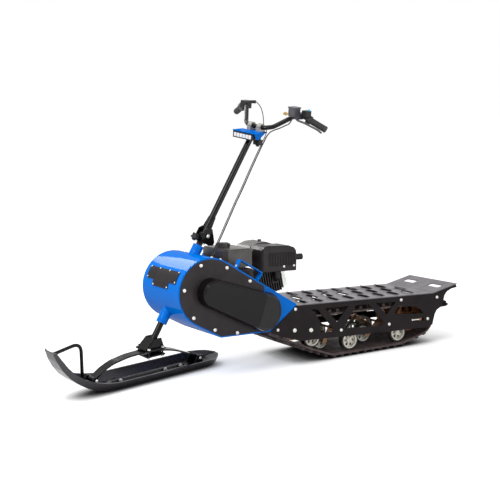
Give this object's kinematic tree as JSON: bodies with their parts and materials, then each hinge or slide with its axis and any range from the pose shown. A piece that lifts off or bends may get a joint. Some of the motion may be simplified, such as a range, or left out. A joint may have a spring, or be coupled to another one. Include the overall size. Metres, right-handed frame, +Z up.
{
  "type": "snowmobile",
  "caption": "Stand-on snow scooter: rubber track under a long deck, drum-shaped engine body, folding steering column and one sprung ski in front.",
  "frame": {"origin": "on the floor in the middle plane, under the middle of the track's flat run, on the standing face of a lug", "axes": "+X forward, +Y left, +Z up"},
  "size_m": [2.227, 0.5944, 1.2752],
  "materials": {
    "blue_coat": "gloss",
    "black_coat": "satin",
    "deck_coat": "satin",
    "engine_cast": "satin",
    "engine_black": "satin",
    "rocker_alloy": "satin",
    "tank_plastic": "matte",
    "track_rubber": "matte",
    "tyre_rubber": "matte",
    "hub_plastic": "matte",
    "tan_plastic": "matte",
    "ski_plastic": "matte",
    "grip_rubber": "matte",
    "clamp_alloy": "satin",
    "control_plastic": "matte",
    "lever_alloy": "satin",
    "lamp_case": "matte"
  },
  "bodies": {
    "chassis": {"drum_shell": "blue_coat", "plate_left": "blue_coat", "plate_right": "blue_coat", "head_tube": "blue_coat", "belt_cover": "black_coat", "name_panel": "black_coat", "side_handles": "blue_coat", "engine_bed": "black_coat", "crankcase": "engine_cast", "engine_cylinder": "engine_cast", "rocker_cover": "rocker_alloy", "fuel_tank": "tank_plastic", "fuel_cap": "tank_plastic", "muffler": "engine_black", "exhaust_pipe": "engine_black", "air_cleaner": "tank_plastic", "recoil_starter": "engine_black", "deck": "deck_coat", "deck_side_left": "black_coat", "deck_side_right": "black_coat", "cross_tubes": "black_coat", "track_belt": "track_rubber", "drive_wheels": "tan_plastic", "idler_wheels": "tan_plastic", "roller_hubs": "hub_plastic", "roller_tyres": "tyre_rubber", "bogie_arms": "black_coat", "tow_bar": "black_coat", "cables_lower": "control_plastic"},
    "steering": {"steer_stem": "black_coat", "spring_clamp": "black_coat", "leaf_spring": "black_coat", "ski": "ski_plastic", "ski_fittings": "black_coat", "fold_knob": "control_plastic"},
    "column": {"column_tube": "black_coat", "handlebar": "black_coat", "grips": "grip_rubber", "bar_clamps": "clamp_alloy", "lamp_visor": "blue_coat", "head_lamp": "lamp_case", "brake_control": "lever_alloy", "throttle_control": "control_plastic", "switch_unit": "control_plastic", "cables_upper": "control_plastic"}
  },
  "joints": [
    {"name": "steering", "type": "hinge", "parent": "chassis", "child": "steering", "pos_m": [1.09577, 0, 0.05215], "axis": [-0.527, 0, 0.8499], "range_deg": [-48, 12], "deforming": ["cables_lower"]},
    {"name": "column_fold", "type": "hinge", "parent": "steering", "child": "column", "pos_m": [0.72532, 0, 0.64962], "axis": [0.2626, -0.9511, 0.1628], "range_deg": [0, 55], "deforming": ["cables_upper"]}
  ]
}
